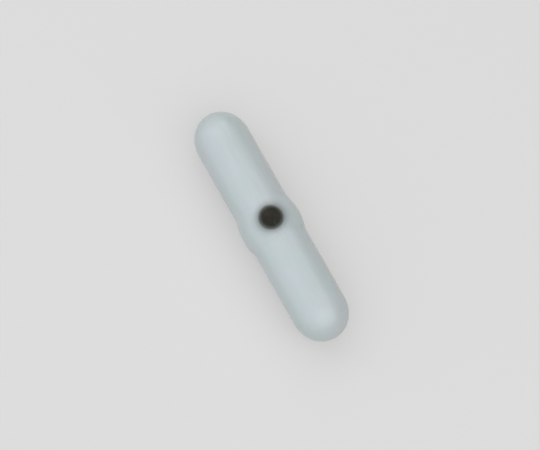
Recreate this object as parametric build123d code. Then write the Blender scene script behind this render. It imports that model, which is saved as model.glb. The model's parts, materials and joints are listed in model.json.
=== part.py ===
from build123d import *
from math import cos, radians, sin
import os

# Magnetic stir bar with a pivot ring: a rod magnet sealed in a white moulded jacket, with a dark round
# mark let into the crown of the ring. Sizes are in millimetres and angles in degrees. The bar lies along
# X, the mark faces up along Z, and the origin is the point under the ring on which the bar spins.

# Jacket, outside
bar_length = 38.0
bar_diameter = 8.25
end_dome_length = 4.5
end_nose_angle = 60
ring_length = 5.8
ring_rise = 0.47
ring_root_radius = 3.0

# Jacket, inside
side_wall = 1.1
end_wall = 3.4

# Magnet
magnet_chamfer = 0.4
magnet_clearance = 0.02

# Mark
mark_diameter = 3.5
mark_depth = 0.8
mark_clearance = 0.02

# Sizes that follow from the ones above
bar_radius = bar_diameter / 2
ring_radius = bar_radius + ring_rise
cavity_diameter = bar_diameter - 2 * side_wall
cavity_length = bar_length - 2 * end_wall


def end_radii():
    """Radii of the two arcs that round each end: the nose on the axis, then the shoulder next to the arm.

    The arcs are tangent where the nose has turned through its angle. Between them they climb from the
    axis to the bar's radius over the length of the dome, which gives two linear equations.
    """
    rise_share = sin(radians(end_nose_angle))
    run_share = cos(radians(end_nose_angle))
    both = rise_share + run_share - 1
    nose = (bar_radius * run_share - end_dome_length * (1 - rise_share)) / both
    shoulder = (end_dome_length * rise_share - bar_radius * (1 - run_share)) / both
    return nose, shoulder


def outer_form():
    """Outside of the bar: half its long section, turned about the bar's own axis."""
    nose_radius, shoulder_radius = end_radii()
    tip = bar_length / 2
    ring_end = ring_length / 2
    with BuildSketch() as half_section:
        with BuildLine():
            nose = JernArc((tip, 0), (0, 1), nose_radius, end_nose_angle)
            shoulder = JernArc(nose @ 1, nose % 1, shoulder_radius, 90 - end_nose_angle)
            Line(shoulder @ 1, (ring_end, bar_radius))
            mirror(about=Plane.YZ)
            ThreePointArc((-ring_end, bar_radius), (0, ring_radius), (ring_end, bar_radius))
            Line((-tip, 0), (tip, 0))
        make_face()
        along_the_arms = half_section.vertices().group_by(Axis.Y)[-1].sort_by(Axis.X)
        ring_roots = along_the_arms[1:-1]
        fillet(ring_roots, ring_root_radius)
    return revolve(half_section.sketch, Axis.X)


def rod(length, diameter):
    """Round rod along the bar's axis, with both of its end edges chamfered."""
    blank = Rotation(0, 90, 0) * Cylinder(diameter / 2, length)
    return chamfer(blank.edges().filter_by(GeomType.CIRCLE), magnet_chamfer)


def mark_post(diameter, depth):
    """Upright round post that starts the given depth below the crown of the ring and ends well above it."""
    foot = Pos(0, 0, ring_radius - depth)
    return foot * Cylinder(diameter / 2, ring_radius, align=(Align.CENTER, Align.CENTER, Align.MIN))


def jacket():
    """White moulding: closed round the magnet, with a round pocket for the mark in the ring's crown."""
    pocket = mark_post(mark_diameter + 2 * mark_clearance, mark_depth + mark_clearance)
    return outer_form() - rod(cavity_length, cavity_diameter) - pocket


def magnet():
    """Rod magnet that fills the jacket's cavity but for the clearance all round."""
    return rod(cavity_length - 2 * magnet_clearance, cavity_diameter - 2 * magnet_clearance)


def centre_mark():
    """Dark inlay, its upper face trimmed to the crown of the ring."""
    return mark_post(mark_diameter, mark_depth) & outer_form()


# The axis of the bar lies one ring radius above the point on which it spins.
on_its_ring = Pos(0, 0, ring_radius)

os.makedirs("parts", exist_ok=True)
export_step(on_its_ring * jacket(), "parts/jacket.step")
export_step(on_its_ring * magnet(), "parts/magnet.step")
export_step(on_its_ring * centre_mark(), "parts/centre_mark.step")
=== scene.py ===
"""Looks of a magnetic stir bar with a pivot ring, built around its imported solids.

The bar lies along X with its mark facing up along Z, in metres, and spins on the point at the origin.
The white jacket and the dark mark are new surfaces that stand for their solids. The magnet sealed inside
keeps its solid and gets a finish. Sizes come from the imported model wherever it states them.
"""

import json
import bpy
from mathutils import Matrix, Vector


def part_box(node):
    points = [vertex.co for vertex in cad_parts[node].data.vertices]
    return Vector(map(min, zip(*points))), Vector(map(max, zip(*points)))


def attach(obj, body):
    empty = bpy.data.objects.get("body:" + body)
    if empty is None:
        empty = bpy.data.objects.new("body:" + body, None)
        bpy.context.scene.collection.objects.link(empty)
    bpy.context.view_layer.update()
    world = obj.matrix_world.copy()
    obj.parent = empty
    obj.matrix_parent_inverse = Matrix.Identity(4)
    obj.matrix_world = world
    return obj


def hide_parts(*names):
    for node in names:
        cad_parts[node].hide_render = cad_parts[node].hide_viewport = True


bl_info = {
    "name": "Magnetic Stir Bar",
    "version": (1, 0, 0),
    "blender": (4, 5, 0),
    "location": "View3D > Sidebar > Stir Bar",
    "description": "Jacket, centre mark, magnet and stage of a magnetic stir bar with a pivot ring",
    "category": "Mesh",
}

from math import asin, cos, pi, radians, sin, tan
from typing import NamedTuple

import bpy
import numpy as np
from bpy.props import FloatProperty, FloatVectorProperty, PointerProperty
from mathutils import Matrix, Vector

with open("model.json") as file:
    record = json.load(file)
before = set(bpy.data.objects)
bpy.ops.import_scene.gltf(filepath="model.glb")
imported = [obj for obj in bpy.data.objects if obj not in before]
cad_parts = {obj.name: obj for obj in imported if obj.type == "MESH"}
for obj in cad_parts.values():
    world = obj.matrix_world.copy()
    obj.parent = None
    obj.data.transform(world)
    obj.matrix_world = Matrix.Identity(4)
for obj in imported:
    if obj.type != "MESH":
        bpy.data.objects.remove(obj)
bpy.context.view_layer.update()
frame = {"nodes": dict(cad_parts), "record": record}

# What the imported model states
MM = 0.001
JACKET_LOW, JACKET_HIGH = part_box("jacket")
MAGNET_LOW, MAGNET_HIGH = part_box("magnet")
MARK_LOW, MARK_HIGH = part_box("centre_mark")
ARM = next(mount for mount in frame["record"]["mounts"] if mount["name"] == "arm_right")
ARM_RADIUS = ARM["dims"]["r_mm"] * MM
ARM_HALF = ARM["dims"]["length_mm"] * MM / 2
ARM_START = ARM["pos_m"][0] - ARM_HALF
ARM_END = ARM["pos_m"][0] + ARM_HALF
AXIS_HEIGHT = ARM["pos_m"][2]

# Gap all round the magnet
MAGNET_GAP = 0.02 * MM

# Fineness of the meshes, in rows or columns of points
BAR_COLUMNS = 144
CROWN_ROWS = 12
ROOT_ROWS = 6
ARM_ROWS = 26
SHOULDER_ROWS = 12
NOSE_ROWS = 18
OPENING_ROWS = 10
OPENING_COLUMNS = 12
COLLAR_ROWS = 5
LIP_ROWS = 5
WALL_ROWS = 4
FLOOR_ROWS = 5
CHAMBER_COLUMNS = 96
MARK_COLUMNS = 96
MARK_ROWS = 14
SHARP_EDGE = radians(40)

# Worked skin: detail of its noises, the shares of them that show, and the run of its rub marks
CLOUD_DETAIL = 1.5
GRAIN_DETAIL = 2.0
RUB_DETAIL = 0.0
FULL_SHARES = (0.0, 1.0)
CLOUD_SHARES = (0.3, 0.7)
GRAIN_SHARES = (0.3, 0.7)
RUB_SHARES = (0.62, 0.74)
PATCH_SHARES = (0.45, 0.65)
RUB_SLANTS = ((0.2, 0.4, 0.5), (0.9, -0.6, -0.7))
RUB_STRETCH = (0.05, 1.0, 1.0)

# Finishes: roughness from and to, what rub marks add to it, and their share of the colour
JACKET_ROUGHNESS = (0.20, 0.24)
JACKET_RUB_ROUGHNESS = 0.03
JACKET_RUB_SHARE = 0.12
MARK_ROUGHNESS = (0.5, 0.62)
MARK_RUB_SHARE = 0.1
MAGNET_ROUGHNESS = (0.34, 0.5)
FADE_POWER = 3.0

# Finishes: what is the same all over, by the shader's own sockets
JACKET_SHADER = {
    "IOR": 1.55,
    "Specular IOR Level": 0.7,
    "Sheen Weight": 0.5,
    "Sheen Roughness": 0.3,
    "Subsurface Weight": 0.6,
    "Subsurface Radius": (1.0, 1.0, 1.0),
    "Subsurface Scale": 0.6 * MM,
}
MARK_SHADER = {"IOR": 1.45, "Specular IOR Level": 0.15}
MAGNET_SHADER = {"Metallic": 1.0}
FLOOR_SHADER = {"Roughness": 0.9, "Specular IOR Level": 0.1, "Emission Strength": 1.0}

# Sockets of a Mix node that blends colours
MIX_FACTOR = 0
MIX_FIRST = 6
MIX_SECOND = 7
MIX_RESULT = 2


class Skin(NamedTuple):
    """Sizes of a skin's clouds, grain and rub marks, and how high or deep they are, in metres."""

    cloud_size: float
    grain_size: float
    rub_size: float
    cloud_height: float
    grain_height: float
    rub_depth: float


JACKET_SKIN = Skin(cloud_size=4.5 * MM, grain_size=0.3 * MM, rub_size=0.25 * MM,
                   cloud_height=0.012 * MM, grain_height=0.0002 * MM, rub_depth=0.0008 * MM)
MARK_SKIN = Skin(cloud_size=1.2 * MM, grain_size=0.12 * MM, rub_size=0.12 * MM,
                 cloud_height=0.004 * MM, grain_height=0.002 * MM, rub_depth=0.002 * MM)
MAGNET_SKIN = Skin(cloud_size=2.5 * MM, grain_size=0.1 * MM, rub_size=0.15 * MM,
                   cloud_height=0.003 * MM, grain_height=0.004 * MM, rub_depth=0.003 * MM)


def length(name, default, description):
    """Property that holds a length in metres."""
    return FloatProperty(name=name, description=description, default=default, min=0, unit="LENGTH",
                         precision=5)


def turn(name, default, description):
    """Property that holds an angle, given in degrees."""
    return FloatProperty(name=name, description=description, default=radians(default), subtype="ANGLE")


def share(name, default, description):
    """Property that holds a share between nothing and all."""
    return FloatProperty(name=name, description=description, default=default, min=0, max=1,
                         subtype="FACTOR")


def glow(name, default, description):
    """Property that holds the brightness of a light's face, where 1 is white."""
    return FloatProperty(name=name, description=description, default=default, min=0)


def tint(name, default, description):
    """Property that holds a colour, linear red, green and blue."""
    return FloatVectorProperty(name=name, description=description, default=default, size=3, min=0, max=1,
                               subtype="COLOR")


class StirBarSizes(bpy.types.PropertyGroup):
    """Sizes of the bar."""

    bar_length: length("Bar length", JACKET_HIGH.x - JACKET_LOW.x, "From tip to tip")
    bar_radius: length("Bar radius", ARM_RADIUS, "Radius of the straight arms")
    axis_height: length("Axis height", AXIS_HEIGHT, "Height of the bar's axis over the floor")
    ring_radius: length("Ring radius", AXIS_HEIGHT - JACKET_LOW.z, "Radius of the pivot ring at its crown")
    ring_reach: length("Ring reach", ARM_START, "From the middle of the bar to where an arm starts")
    root_radius: length("Root radius", 3.0 * MM, "Hollow round between the ring and an arm")
    end_length: length("End length", JACKET_HIGH.x - ARM_END, "Length of a rounded end")
    nose_angle: turn("Nose angle", 60, "Turn of the nose's arc before the shoulder's arc takes over")
    mark_radius: length("Mark radius", (MARK_HIGH.x - MARK_LOW.x) / 2, "Radius of the dark mark")
    mark_foot: length("Mark foot", MARK_LOW.z, "Height of the mark's underside")
    mark_edge: length("Mark edge", 0.05 * MM, "Rounding of the mark's upper edge")
    mark_dish: length("Mark dish", 0.02 * MM, "How far the middle of the mark has sunk in setting")
    pocket_gap: length("Pocket gap", 0.02 * MM, "Gap round and under the mark")
    pocket_lip: length("Pocket lip", 0.06 * MM, "Rounding of the pocket's upper edge")
    chamber_length: length("Chamber length", MAGNET_HIGH.x - MAGNET_LOW.x + 2 * MAGNET_GAP,
                           "Length of the hollow for the magnet")
    chamber_radius: length("Chamber radius", (MAGNET_HIGH.z - MAGNET_LOW.z) / 2 + MAGNET_GAP,
                           "Radius of the hollow for the magnet")
    chamber_bevel: length("Chamber bevel", 0.4 * MM, "Bevel at both ends of the hollow")


class StirBarFinish(bpy.types.PropertyGroup):
    """Colours of the bar."""

    jacket_cool: tint("Jacket, cool", (0.568, 0.615, 0.614), "Cooler white of the jacket's clouding")
    jacket_warm: tint("Jacket, warm", (0.588, 0.610, 0.632), "Warmer white of the jacket's clouding")
    jacket_scuff: tint("Jacket, scuffed", (0.40, 0.43, 0.44), "Grey of fine rub marks")
    jacket_sheen: tint("Jacket, sheen", (1.0, 0.92, 0.91), "Pale sheen of the jacket where it turns away")
    mark_halo: tint("Mark halo", (0.16, 0.17, 0.165), "Grey that shows through the white next to the mark")
    halo_width: length("Halo width", 1.95 * MM, "Reach of that grey round the mark")
    halo_share: share("Halo share", 0.97, "Strength of that grey at the mark's edge")
    rim_width: length("Rim width", 0.72 * MM, "Reach of that grey on the mark's own rim")
    rim_share: share("Rim share", 0.97, "Strength of that grey on the mark's own rim")
    mark_dark: tint("Mark, dark", (0.020, 0.017, 0.0105), "Main colour of the mark")
    mark_pale: tint("Mark, pale", (0.031, 0.0275, 0.020), "Paler clouding of the mark")
    magnet_dark: tint("Magnet, dark", (0.11, 0.11, 0.115), "Ground face of the magnet, in its hollows")
    magnet_bright: tint("Magnet, bright", (0.28, 0.28, 0.29), "Ground face of the magnet, on its ridges")


class StirBarStage(bpy.types.PropertyGroup):
    """Camera, floor, room and lights."""

    view_azimuth: turn("Azimuth", 61.33, "Turn of the camera round the bar, from its side")
    view_elevation: turn("Elevation", 73.5, "Height of the camera over the floor")
    lens: FloatProperty(name="Lens", description="Focal length", default=250, unit="CAMERA")
    view_width: length("View width", 77.97 * MM, "Width of the picture at the bar")
    aim_left: length("Aim left", 0.155 * MM, "How far left of the bar's middle the camera aims")
    aim_up: length("Aim up", 0.117 * MM, "How far above the bar's middle the camera aims")
    floor_width: length("Floor width", 2.0, "Side of the square floor")
    floor_pale: tint("Floor", (0.40, 0.387, 0.373), "Colour of the floor")
    floor_lift: share("Floor lift", 0.345, "Extra paleness of the floor as it is seen")
    room_light: share("Room light", 0.25, "Even light from all round")
    room_tint: tint("Room tint", (1.0, 0.94, 0.89), "Colour of the even light from all round")
    backdrop: share("Backdrop", 0.5, "Paleness of the room as it is seen")
    light_distance: length("Light distance", 0.3, "From the bar's foot to the middle of each light")
    arch_edges: FloatVectorProperty(name="Arch edges", size=5, subtype="EULER", unit="ROTATION",
                                    description="Leans of the panels' edges, from far side to near side",
                                    default=[radians(edge) for edge in (-50, -30, 30, 70, 90)])
    arch_glows: FloatVectorProperty(name="Arch glows", size=4, min=0,
                                    description="Brightness of the arch's panels, where 1 is white",
                                    default=(0.68, 0.56, 0.57, 0.65))
    arch_width: length("Arch width", 0.9, "Width of the arch along the bar")
    arch_tint: tint("Arch tint", (0.81, 0.945, 1.0), "Colour of the arch's light")
    left_glow: glow("Left glow", 0.51, "Brightness of the light beyond the left end")
    left_elevation: turn("Left elevation", 35, "Height of the light beyond the left end")
    right_glow: glow("Right glow", 0.64, "Brightness of the light beyond the right end")
    right_elevation: turn("Right elevation", 45, "Height of the light beyond the right end")
    end_width: length("End width", 0.42, "Width of the two end lights")
    end_tint: tint("End tint", (1.0, 1.0, 1.0), "Colour of the two end lights")


class Shell:
    """Points and faces that are gathered into one mesh."""

    def __init__(self):
        self.points = []
        self.quads = []
        self.triangles = []
        self.count = 0

    def number(self, points):
        """Takes in an array of points and returns their numbers in an array of the same layout."""
        numbers = self.count + np.arange(points[..., 0].size).reshape(points.shape[:-1])
        self.points.append(points.reshape(-1, 3))
        self.count += numbers.size
        return numbers

    def band(self, numbers, keep=None):
        """Quads between neighbouring rows, whose columns run all round, leaving out those not to keep."""
        beside = np.roll(numbers, -1, axis=1)
        quads = np.stack([numbers[:-1], numbers[1:], beside[1:], beside[:-1]], axis=-1)
        self.quads.append(quads.reshape(-1, 4) if keep is None else quads[keep])

    def cap(self, middle, loop):
        """Triangles from one middle point to a closed loop."""
        self.triangles.append(np.stack([np.full_like(loop, middle), loop, np.roll(loop, -1)], axis=-1))

    def close(self, numbers, first, last):
        """Caps the first row and the last row, each with a middle point of its own."""
        middles = self.number(np.array([first, last]))
        self.cap(middles[0], numbers[0])
        self.cap(middles[1], numbers[-1, ::-1])

    def build(self, name):
        """Mesh object of all the faces, smooth but for its sharp edges, with unused points left out."""
        quads = np.concatenate(self.quads)
        triangles = np.concatenate(self.triangles)
        used = np.unique(np.concatenate([quads.ravel(), triangles.ravel()]))
        renumbered = np.zeros(self.count, dtype=int)
        renumbered[used] = np.arange(used.size)
        points = np.concatenate(self.points)[used]
        mesh = bpy.data.meshes.new(name)
        mesh.from_pydata(points.tolist(), [], renumbered[quads].tolist() + renumbered[triangles].tolist())
        mesh.shade_smooth()
        mesh.set_sharp_from_angle(angle=SHARP_EDGE)
        made = bpy.data.objects.new(name, mesh)
        bpy.context.scene.collection.objects.link(made)
        return made


def end_arcs(sizes):
    """Radii of the two arcs of a rounded end: the nose on the axis, then the shoulder next to the arm.

    The nose turns through its angle and the shoulder through the rest of a right angle. Between them they
    climb from the axis to the bar's radius over the length of the end, which gives two linear equations.
    """
    rise_share = sin(sizes.nose_angle)
    run_share = cos(sizes.nose_angle)
    both = rise_share + run_share - 1
    nose = (sizes.bar_radius * run_share - sizes.end_length * (1 - rise_share)) / both
    shoulder = (sizes.end_length * rise_share - sizes.bar_radius * (1 - run_share)) / both
    return nose, shoulder


def crown_arc(sizes):
    """Radius of the arc along the ring's crown.

    The root's arc touches the arm at the ring's reach and touches the crown's arc, so the two radii add up
    to the reach squared plus the rise squared, over twice the rise.
    """
    rise = sizes.ring_radius - sizes.bar_radius
    return (sizes.ring_reach ** 2 + rise ** 2) / (2 * rise) - sizes.root_radius


def arc(middle, bend, first, last, rows):
    """Points on an arc of the half section, without the first one.

    A point is the middle plus the bend times the sine and the cosine of an angle from upright, which runs
    evenly from the first to the last. The bend is the arc's radius, negative where the arc is hollow.
    """
    along, radius = middle
    angle = np.linspace(first, last, rows + 1)[1:]
    return np.stack([along + bend * np.sin(angle), radius + bend * np.cos(angle)])


def half_section(sizes):
    """Distance along the bar and radius, from the ring's crown to just short of the tip.

    In turn: the top of the crown, the arcs of the crown and of its hollow root, the straight arm, and the
    arcs of the shoulder and the nose.
    """
    crown = crown_arc(sizes)
    root = sizes.root_radius
    nose, shoulder = end_arcs(sizes)
    tip = sizes.bar_length / 2
    arm_end = tip - sizes.end_length
    lean = asin(sizes.ring_reach / (crown + root))
    meeting = pi / 2 - sizes.nose_angle
    arm = np.linspace(sizes.ring_reach, arm_end, ARM_ROWS + 1)[1:]
    stretches = [
        np.array([[0], [sizes.ring_radius]]),
        arc((0, sizes.ring_radius - crown), crown, 0, lean, CROWN_ROWS),
        arc((sizes.ring_reach, sizes.bar_radius + root), -root, lean, 0, ROOT_ROWS),
        np.stack([arm, np.full_like(arm, sizes.bar_radius)]),
        arc((arm_end, sizes.bar_radius - shoulder), shoulder, 0, meeting, SHOULDER_ROWS),
        arc((tip - nose, 0), nose, meeting, pi / 2, NOSE_ROWS)[:, :-1],
    ]
    return np.concatenate(stretches, axis=1)


def turned(sizes, along, radius, columns):
    """A section turned about the bar's axis, one row of points for each of its points.

    A point is its distance along the bar, its radius times the sine of the angle, and the axis height plus
    its radius times the cosine. The angle runs from underneath, over the top, to underneath again.
    """
    angle = np.linspace(-pi, pi, columns, endpoint=False)
    x = np.repeat(along[:, None], columns, axis=1)
    y = radius[:, None] * np.sin(angle)
    z = sizes.axis_height + radius[:, None] * np.cos(angle)
    return np.stack([x, y, z], axis=-1)


def headings(bearing):
    """Unit arrows in plan: the cosine and the sine of each bearing."""
    return np.stack([np.cos(bearing), np.sin(bearing)], axis=-1)


def lifted(plan, height):
    """Points in plan with a height for each."""
    return np.concatenate([plan, height[..., None]], axis=-1)


def round_loops(reach, heading, height):
    """Loops of points: each reach times the headings in plan, with the heights given for each point."""
    return lifted(reach[:, None, None] * heading, height)


def on_crown(sizes, plan):
    """Points in plan, lifted to the ring's crown.

    The ring's radius follows the crown's arc along the bar, and the height is the axis plus the square root
    of that radius squared less y squared.
    """
    crown = crown_arc(sizes)
    radius = sizes.ring_radius - crown + np.sqrt(crown ** 2 - plan[..., 0] ** 2)
    return lifted(plan, sizes.axis_height + np.sqrt(radius ** 2 - plan[..., 1] ** 2))


def add_outside(shell, sizes):
    """Outside of the jacket, with an opening left in the crown. Returns the loop of points round it.

    The half section is mirrored, turned about the axis and closed with a point at each tip. The opening is
    a block of quads over the middle of the ring, and its loop runs clockwise as seen from above.
    """
    along, radius = half_section(sizes)
    along = np.concatenate([-along[:0:-1], along])
    radius = np.concatenate([radius[:0:-1], radius])
    surface = turned(sizes, along, radius, BAR_COLUMNS)
    numbers = shell.number(surface)
    middle_row = len(along) // 2
    middle_column = BAR_COLUMNS // 2
    first_row = middle_row - OPENING_ROWS
    last_row = middle_row + OPENING_ROWS
    first_column = middle_column - OPENING_COLUMNS
    last_column = middle_column + OPENING_COLUMNS
    keep = np.ones((len(along) - 1, BAR_COLUMNS), dtype=bool)
    keep[first_row:last_row, first_column:last_column] = False
    shell.band(numbers, keep)
    tip = sizes.bar_length / 2
    shell.close(numbers, (-tip, 0, sizes.axis_height), (tip, 0, sizes.axis_height))
    block = numbers[first_row:last_row + 1, first_column:last_column + 1]
    loop = np.concatenate([block[:-1, 0], block[-1, :-1], block[:0:-1, -1], block[0, :0:-1]])[::-1]
    return loop, surface.reshape(-1, 3)[loop - numbers[0, 0]]


def add_pocket(shell, sizes, loop, border):
    """Collar, lip, wall and floor of the pocket, from the opening's loop to the middle of the floor.

    Collar: plan points run straight from the border to the lip on the same bearing, at the crown's height.
    Lip: a quarter round of the lip's radius. Wall: straight down. Floor: rings that shrink to the middle.
    """
    heading = headings(np.arctan2(border[:, 1], border[:, 0]))
    pocket = sizes.mark_radius + sizes.pocket_gap
    floor = sizes.mark_foot - sizes.pocket_gap
    lip = sizes.pocket_lip

    inward = np.linspace(0, 1, COLLAR_ROWS + 1)[1:, None, None]
    collar = on_crown(sizes, (1 - inward) * border[:, :2] + inward * (pocket + lip) * heading)
    brim = collar[-1, :, 2]
    angle = np.linspace(0, pi / 2, LIP_ROWS + 1)[1:]
    lip_loops = round_loops(pocket + lip - lip * np.sin(angle), heading,
                            brim - lip * (1 - np.cos(angle))[:, None])
    down = np.linspace(0, 1, WALL_ROWS + 1)[1:, None]
    wall = round_loops(np.full(WALL_ROWS, pocket), heading, (1 - down) * (brim - lip) + down * floor)
    shrink = np.linspace(1, 0, FLOOR_ROWS + 1)[1:-1]
    floor_loops = round_loops(pocket * shrink, heading, np.full((FLOOR_ROWS - 1, len(border)), floor))

    inner = shell.number(np.concatenate([collar, lip_loops, wall, floor_loops]))
    shell.band(np.concatenate([loop[None], inner]))
    middle = shell.number(np.array([[0, 0, floor]]))
    shell.cap(middle[0], inner[-1, ::-1])


def add_chamber(shell, sizes):
    """Wall of the sealed hollow for the magnet: straight and round, with bevelled ends, facing inwards."""
    end = sizes.chamber_length / 2
    bevel = sizes.chamber_bevel
    radius = sizes.chamber_radius
    along = np.concatenate([[-end], np.linspace(bevel - end, end - bevel, ARM_ROWS), [end]])
    reach = np.concatenate([[radius - bevel], np.full(ARM_ROWS, radius), [radius - bevel]])
    numbers = shell.number(turned(sizes, along, reach, CHAMBER_COLUMNS))[:, ::-1]
    shell.band(numbers)
    shell.close(numbers, (-end, 0, sizes.axis_height), (end, 0, sizes.axis_height))


def jacket_surface(sizes):
    """The whole jacket as one closed mesh: outside, pocket and chamber."""
    shell = Shell()
    loop, border = add_outside(shell, sizes)
    add_pocket(shell, sizes, loop, border)
    add_chamber(shell, sizes)
    return shell.build("jacket_moulding")


def mark_surface(sizes):
    """The mark as one closed mesh, from the middle of its underside to the middle of its upper face.

    Underside: flat rings. Side: straight up. Edge: a quarter round. Upper face: rings at the crown's
    height, less a dish that is deepest in the middle and falls off with the square of the reach.
    """
    heading = headings(np.linspace(0, -2 * pi, MARK_COLUMNS, endpoint=False))
    edge = sizes.mark_edge
    face = sizes.mark_radius - edge
    rim = on_crown(sizes, face * heading)[:, 2]

    grow = np.linspace(0, 1, FLOOR_ROWS + 1)[1:]
    underside = round_loops(sizes.mark_radius * grow, heading,
                            np.full((FLOOR_ROWS, MARK_COLUMNS), sizes.mark_foot))
    up = np.linspace(0, 1, WALL_ROWS + 1)[1:, None]
    side = round_loops(np.full(WALL_ROWS, sizes.mark_radius), heading,
                       (1 - up) * sizes.mark_foot + up * (rim - edge))
    angle = np.linspace(0, pi / 2, LIP_ROWS + 1)[1:]
    edge_loops = round_loops(face + edge * np.cos(angle), heading,
                             rim - edge + edge * np.sin(angle)[:, None])
    shrink = np.linspace(1, 0, MARK_ROWS + 1)[1:-1]
    top = on_crown(sizes, (face * shrink)[:, None, None] * heading)
    top[..., 2] -= sizes.mark_dish * (1 - shrink ** 2)[:, None]

    shell = Shell()
    numbers = shell.number(np.concatenate([underside, side, edge_loops, top]))
    shell.band(numbers)
    crown = sizes.axis_height + sizes.ring_radius
    shell.close(numbers, (0, 0, sizes.mark_foot), (0, 0, crown - sizes.mark_dish))
    return shell.build("mark_inlay")


def set_inputs(tree, node, inputs):
    """Inputs of a node, each linked to a socket or set to a value."""
    for name, value in inputs.items():
        if isinstance(value, bpy.types.NodeSocket):
            tree.links.new(value, node.inputs[name])
        else:
            node.inputs[name].default_value = value


def add_node(tree, kind, inputs=None, **settings):
    """New node in a tree, with its settings and its inputs."""
    made = tree.nodes.new(kind)
    for name, value in settings.items():
        setattr(made, name, value)
    set_inputs(tree, made, inputs or {})
    return made


def combine(tree, operation, first, second):
    """Value of a Math node."""
    return add_node(tree, "ShaderNodeMath", {0: first, 1: second}, operation=operation).outputs[0]


def ramp(tree, value, source, target=FULL_SHARES):
    """Smooth step from one range of values to another."""
    inputs = {"Value": value, "From Min": source[0], "From Max": source[1],
              "To Min": target[0], "To Max": target[1]}
    return add_node(tree, "ShaderNodeMapRange", inputs, interpolation_type="SMOOTHSTEP").outputs["Result"]


def falloff(tree, value, start, end, strength):
    """Share that has its strength at the start and fades to nothing at the end.

    It is the strength times the cube of the part of the way that is left.
    """
    inputs = {"Value": value, "From Min": start, "From Max": end, "To Min": 1.0, "To Max": 0.0}
    left = add_node(tree, "ShaderNodeMapRange", inputs).outputs["Result"]
    return combine(tree, "MULTIPLY", combine(tree, "POWER", left, FADE_POWER), strength)


def blend(tree, factor, first, second):
    """Colour between two others, the second one where the factor is 1."""
    inputs = {MIX_FACTOR: factor, MIX_FIRST: first, MIX_SECOND: second}
    return add_node(tree, "ShaderNodeMix", inputs, data_type="RGBA").outputs[MIX_RESULT]


def opaque(colour):
    """Colour with a full alpha."""
    return (*colour, 1.0)


def skin_group():
    """Node group of what a rubbed, moulded or ground skin shows: soft clouds, fine grain and rub marks.

    Clouds and grain are noise at the sizes given. Rub marks are the peaks of a noise that is drawn out
    along two slanting directions, kept only in patches.
    """
    name = "worked_skin"
    if name in bpy.data.node_groups:
        return bpy.data.node_groups[name]
    tree = bpy.data.node_groups.new(name, "ShaderNodeTree")
    tree.interface.new_socket("Vector", in_out="INPUT", socket_type="NodeSocketVector")
    for socket in ("Cloud Size", "Grain Size", "Rub Size"):
        tree.interface.new_socket(socket, in_out="INPUT", socket_type="NodeSocketFloat")
    for socket in ("Cloud", "Grain", "Rub"):
        tree.interface.new_socket(socket, in_out="OUTPUT", socket_type="NodeSocketFloat")
    given = add_node(tree, "NodeGroupInput").outputs
    point = given["Vector"]

    def noise(size, detail, vector):
        """Noise with lumps of the size that the group is given."""
        scale = combine(tree, "DIVIDE", 1.0, given[size])
        inputs = {"Vector": vector, "Scale": scale, "Detail": detail}
        return add_node(tree, "ShaderNodeTexNoise", inputs).outputs["Fac"]

    def drawn_out(slant):
        """Point in a space that is turned to a slant and drawn out along it."""
        inputs = {"Vector": point, "Rotation": slant, "Scale": RUB_STRETCH}
        return add_node(tree, "ShaderNodeMapping", inputs).outputs["Vector"]

    runs = [drawn_out(slant) for slant in RUB_SLANTS]
    streaks = [ramp(tree, noise("Rub Size", RUB_DETAIL, run), RUB_SHARES) for run in runs]
    patch = ramp(tree, noise("Cloud Size", RUB_DETAIL, runs[-1]), PATCH_SHARES)
    outputs = {
        "Cloud": ramp(tree, noise("Cloud Size", CLOUD_DETAIL, point), CLOUD_SHARES),
        "Grain": noise("Grain Size", GRAIN_DETAIL, point),
        "Rub": combine(tree, "MULTIPLY", combine(tree, "MAXIMUM", *streaks), patch),
    }
    add_node(tree, "NodeGroupOutput", outputs)
    return tree


class WorkedMaterial:
    """Material in the making: its nodes, its object coordinates and its own copy of the worked skin."""

    def __init__(self, name, skin):
        self.material = bpy.data.materials.new(name)
        self.material.use_nodes = True
        self.tree = self.material.node_tree
        self.point = add_node(self.tree, "ShaderNodeTexCoord").outputs["Object"]
        inputs = {"Vector": self.point, "Cloud Size": skin.cloud_size, "Grain Size": skin.grain_size,
                  "Rub Size": skin.rub_size}
        worked = add_node(self.tree, "ShaderNodeGroup", inputs, node_tree=skin_group()).outputs
        self.cloud = worked["Cloud"]
        self.grain = worked["Grain"]
        self.rub = worked["Rub"]
        self.set_shader({"Normal": self.relief(skin)})

    def set_shader(self, inputs):
        """Inputs of the shader."""
        set_inputs(self.tree, self.tree.nodes["Principled BSDF"], inputs)

    def relief(self, skin):
        """Bump of the skin: the heights of its clouds and grain, less the depth of its rub marks."""
        swell = combine(self.tree, "MULTIPLY", self.cloud, skin.cloud_height)
        grain = combine(self.tree, "MULTIPLY", self.grain, skin.grain_height)
        rub = combine(self.tree, "MULTIPLY", self.rub, skin.rub_depth)
        height = combine(self.tree, "SUBTRACT", combine(self.tree, "ADD", swell, grain), rub)
        inputs = {"Strength": 1.0, "Distance": 1.0, "Height": height}
        return add_node(self.tree, "ShaderNodeBump", inputs).outputs["Normal"]


def plan_reach(tree, point):
    """Distance of a point in plan from the mark's middle."""
    flat = add_node(tree, "ShaderNodeVectorMath", {0: point, 1: (1.0, 1.0, 0.0)}, operation="MULTIPLY")
    reach = add_node(tree, "ShaderNodeVectorMath", {0: flat.outputs["Vector"]}, operation="LENGTH")
    return reach.outputs["Value"]


def upper_half(tree, point, sizes):
    """Mask for the upper half of the bar, soft above the axis."""
    height = add_node(tree, "ShaderNodeSeparateXYZ", {0: point}).outputs["Z"]
    return ramp(tree, height, (sizes.axis_height, sizes.axis_height + sizes.bar_radius / 2))


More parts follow.
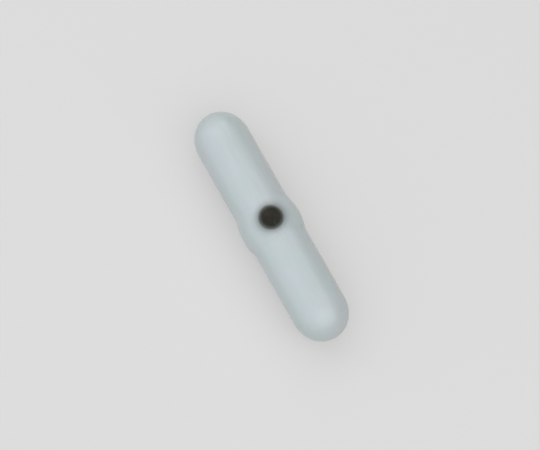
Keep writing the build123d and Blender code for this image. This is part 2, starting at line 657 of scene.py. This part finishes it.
def jacket_finish(sizes, finish):
    """Waxy white: soft clouds of two whites, fine rub marks, and the mark showing grey round its edge."""
    made = WorkedMaterial("jacket_waxy_white", JACKET_SKIN)
    tree = made.tree
    clouded = blend(tree, made.cloud, opaque(finish.jacket_cool), opaque(finish.jacket_warm))
    rub = combine(tree, "MULTIPLY", made.rub, JACKET_RUB_SHARE)
    rubbed = blend(tree, rub, clouded, opaque(finish.jacket_scuff))
    edge = sizes.mark_radius
    near = falloff(tree, plan_reach(tree, made.point), edge, edge + finish.halo_width, finish.halo_share)
    halo = combine(tree, "MULTIPLY", near, upper_half(tree, made.point, sizes))
    waxy = ramp(tree, made.cloud, FULL_SHARES, JACKET_ROUGHNESS)
    dulling = combine(tree, "MULTIPLY", made.rub, JACKET_RUB_ROUGHNESS)
    made.set_shader({
        "Base Color": blend(tree, halo, rubbed, opaque(finish.mark_halo)),
        "Roughness": combine(tree, "ADD", waxy, dulling),
        "Sheen Tint": opaque(finish.jacket_sheen),
        **JACKET_SHADER,
    })
    return made.material


def mark_finish(sizes, finish):
    """Dull dark inlay: paler clouds, a dusting of fine rub marks and a soft paler rim."""
    made = WorkedMaterial("mark_dull_dark", MARK_SKIN)
    tree = made.tree
    clouded = blend(tree, made.cloud, opaque(finish.mark_dark), opaque(finish.mark_pale))
    rub = combine(tree, "MULTIPLY", made.rub, MARK_RUB_SHARE)
    rubbed = blend(tree, rub, clouded, opaque(finish.mark_halo))
    edge = sizes.mark_radius
    rim = falloff(tree, plan_reach(tree, made.point), edge, edge - finish.rim_width, finish.rim_share)
    made.set_shader({
        "Base Color": blend(tree, rim, rubbed, opaque(finish.mark_halo)),
        "Roughness": ramp(tree, made.grain, GRAIN_SHARES, MARK_ROUGHNESS),
        **MARK_SHADER,
    })
    return made.material


def magnet_finish(finish):
    """Ground cast alloy: grinding grain between two greys, bright rub marks and clouds of duller metal."""
    made = WorkedMaterial("magnet_ground_alloy", MAGNET_SKIN)
    tree = made.tree
    ground = blend(tree, made.grain, opaque(finish.magnet_dark), opaque(finish.magnet_bright))
    made.set_shader({
        "Base Color": blend(tree, made.rub, ground, opaque(finish.magnet_bright)),
        "Roughness": ramp(tree, made.cloud, FULL_SHARES, MAGNET_ROUGHNESS),
        **MAGNET_SHADER,
    })
    return made.material


def grey(paleness):
    """Neutral colour of a given paleness."""
    return opaque((paleness,) * 3)


def seen_rays(tree):
    """Mask of the rays by which the camera sees a thing, straight on, mirrored or through glass."""
    path = add_node(tree, "ShaderNodeLightPath").outputs
    looked_at = combine(tree, "MAXIMUM", path["Is Camera Ray"], path["Is Glossy Ray"])
    return combine(tree, "MAXIMUM", looked_at, path["Is Transmission Ray"])


def floor_finish(stage):
    """Pale floor that takes shadows, lifted towards white where the camera or a reflection sees it."""
    material = bpy.data.materials.new("floor_pale")
    material.use_nodes = True
    tree = material.node_tree
    set_inputs(tree, tree.nodes["Principled BSDF"], {
        "Base Color": opaque(stage.floor_pale),
        "Emission Color": blend(tree, seen_rays(tree), grey(0), grey(stage.floor_lift)),
        **FLOOR_SHADER,
    })
    return material


def add_floor(stage):
    """Flat square floor at the height of the ring's foot."""
    corners = stage.floor_width / 2 * np.array([[-1, -1, 0], [1, -1, 0], [1, 1, 0], [-1, 1, 0]])
    mesh = bpy.data.meshes.new("floor")
    mesh.from_pydata(corners.tolist(), [], [(0, 1, 2, 3)])
    mesh.materials.append(floor_finish(stage))
    floor = bpy.data.objects.new("floor", mesh)
    bpy.context.scene.collection.objects.link(floor)


def add_room(stage):
    """Even light from all round, seen by the camera as a pale backdrop."""
    world = bpy.data.worlds.new("room")
    world.use_nodes = True
    tree = world.node_tree
    room = opaque([stage.room_light * part for part in stage.room_tint])
    colour = blend(tree, seen_rays(tree), room, grey(stage.backdrop))
    set_inputs(tree, tree.nodes["Background"], {"Color": colour})
    bpy.context.scene.world = world


def facing(direction, along):
    """Turn whose local Z looks along a direction and whose local Y lies as near another one as it can."""
    z = direction.normalized()
    y = (along - along.dot(z) * z).normalized()
    return Matrix((y.cross(z), y, z)).transposed().to_euler()


def add_soft_light(name, place, along, wide, tall, brightness, colour):
    """Soft rectangular light that looks at the bar's foot from a place, its tall side along a direction.

    Its energy is the brightness of its face times pi times its area.
    """
    lamp = bpy.data.lights.new(name, "AREA")
    lamp.shape = "RECTANGLE"
    lamp.size = wide
    lamp.size_y = tall
    lamp.energy = brightness * pi * wide * tall
    lamp.color = colour
    light = bpy.data.objects.new(name, lamp)
    light.location = place
    light.rotation_euler = facing(place, along)
    light.visible_camera = False
    bpy.context.scene.collection.objects.link(light)


def add_lights(stage):
    """An arch of soft panels across the bar, and a soft light beyond each of its ends.

    A panel stands at the light's distance at the middle lean of its two edges, and is as tall as twice that
    distance times the tangent of half the angle between them.
    """
    panels = zip(stage.arch_edges, stage.arch_edges[1:], stage.arch_glows)
    for panel, (first, last, brightness) in enumerate(panels):
        lean = (first + last) / 2
        tall = 2 * stage.light_distance * tan((last - first) / 2)
        place = stage.light_distance * Vector((0, -sin(lean), cos(lean)))
        along = Vector((0, cos(lean), sin(lean)))
        add_soft_light(f"arch_{panel}", place, along, stage.arch_width, tall, brightness, stage.arch_tint)
    ends = (("left", -1, stage.left_elevation, stage.left_glow),
            ("right", 1, stage.right_elevation, stage.right_glow))
    upright = Vector((0, 0, 1))
    for end, heading, elevation, brightness in ends:
        place = stage.light_distance * Vector((heading * cos(elevation), 0, sin(elevation)))
        add_soft_light(f"end_{end}", place, upright, stage.end_width, stage.end_width, brightness,
                       stage.end_tint)


def add_camera(sizes, stage):
    """Camera on the picture's line of sight, as far off as the lens needs for the picture's width."""
    lens = bpy.data.cameras.new("camera")
    lens.lens = stage.lens
    away = Vector((sin(stage.view_azimuth) * cos(stage.view_elevation),
                   -cos(stage.view_azimuth) * cos(stage.view_elevation), sin(stage.view_elevation)))
    camera = bpy.data.objects.new("camera", lens)
    camera.rotation_euler = facing(away, Vector((0, 0, 1)))
    turned_by = camera.rotation_euler.to_matrix()
    aim = Vector((0, 0, sizes.axis_height)) + turned_by @ Vector((-stage.aim_left, stage.aim_up, 0))
    camera.location = aim + away * (stage.view_width * stage.lens / lens.sensor_width)
    bpy.context.scene.collection.objects.link(camera)
    bpy.context.scene.camera = camera


class STIRBAR_OT_jacket(bpy.types.Operator):
    """Build the white jacket with its ring, its rounded ends and the pocket for the mark"""

    bl_idname = "stirbar.jacket"
    bl_label = "Jacket"

    def execute(self, context):
        sizes = context.scene.stir_bar_sizes
        jacket = jacket_surface(sizes)
        jacket.data.materials.append(jacket_finish(sizes, context.scene.stir_bar_finish))
        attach(jacket, "root")
        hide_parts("jacket")
        return {"FINISHED"}


class STIRBAR_OT_mark(bpy.types.Operator):
    """Build the dark round mark in the crown of the ring"""

    bl_idname = "stirbar.mark"
    bl_label = "Centre mark"

    def execute(self, context):
        sizes = context.scene.stir_bar_sizes
        mark = mark_surface(sizes)
        mark.data.materials.append(mark_finish(sizes, context.scene.stir_bar_finish))
        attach(mark, "root")
        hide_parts("centre_mark")
        return {"FINISHED"}


class STIRBAR_OT_magnet(bpy.types.Operator):
    """Give the sealed magnet its ground finish"""

    bl_idname = "stirbar.magnet"
    bl_label = "Magnet"

    def execute(self, context):
        magnet = frame["nodes"]["magnet"]
        magnet.data.materials.clear()
        magnet.data.materials.append(magnet_finish(context.scene.stir_bar_finish))
        return {"FINISHED"}


class STIRBAR_OT_stage(bpy.types.Operator):
    """Set up the floor, the room, the lights and the camera"""

    bl_idname = "stirbar.stage"
    bl_label = "Stage"

    def execute(self, context):
        stage = context.scene.stir_bar_stage
        add_floor(stage)
        add_room(stage)
        add_lights(stage)
        add_camera(context.scene.stir_bar_sizes, stage)
        context.scene.view_settings.view_transform = "Standard"
        return {"FINISHED"}


class STIRBAR_PT_panel(bpy.types.Panel):
    """Pieces, sizes, finishes and stage of the stir bar"""

    bl_idname = "STIRBAR_PT_panel"
    bl_label = "Stir Bar"
    bl_space_type = "VIEW_3D"
    bl_region_type = "UI"
    bl_category = "Stir Bar"

    def draw(self, context):
        layout = self.layout
        for operator in OPERATORS:
            layout.operator(operator.bl_idname)
        for group in GROUPS:
            settings = getattr(context.scene, group)
            box = layout.box()
            for name in settings.bl_rna.properties.keys():
                if name not in ("rna_type", "name"):
                    box.prop(settings, name)


GROUPS = {"stir_bar_sizes": StirBarSizes, "stir_bar_finish": StirBarFinish, "stir_bar_stage": StirBarStage}
OPERATORS = (STIRBAR_OT_jacket, STIRBAR_OT_mark, STIRBAR_OT_magnet, STIRBAR_OT_stage)
CLASSES = (*GROUPS.values(), *OPERATORS, STIRBAR_PT_panel)


def register():
    """Registers the classes and gives the scene its groups of settings."""
    for cls in CLASSES:
        bpy.utils.register_class(cls)
    for name, group in GROUPS.items():
        setattr(bpy.types.Scene, name, PointerProperty(type=group))


def unregister():
    """Takes the groups of settings and the classes away again."""
    for name in GROUPS:
        delattr(bpy.types.Scene, name)
    for cls in reversed(CLASSES):
        bpy.utils.unregister_class(cls)


def main():
    """Registers the classes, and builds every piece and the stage."""
    register()
    bpy.ops.stirbar.jacket()
    bpy.ops.stirbar.mark()
    bpy.ops.stirbar.magnet()
    bpy.ops.stirbar.stage()
    bpy.context.view_layer.update()


if __name__ == "__main__":
    main()
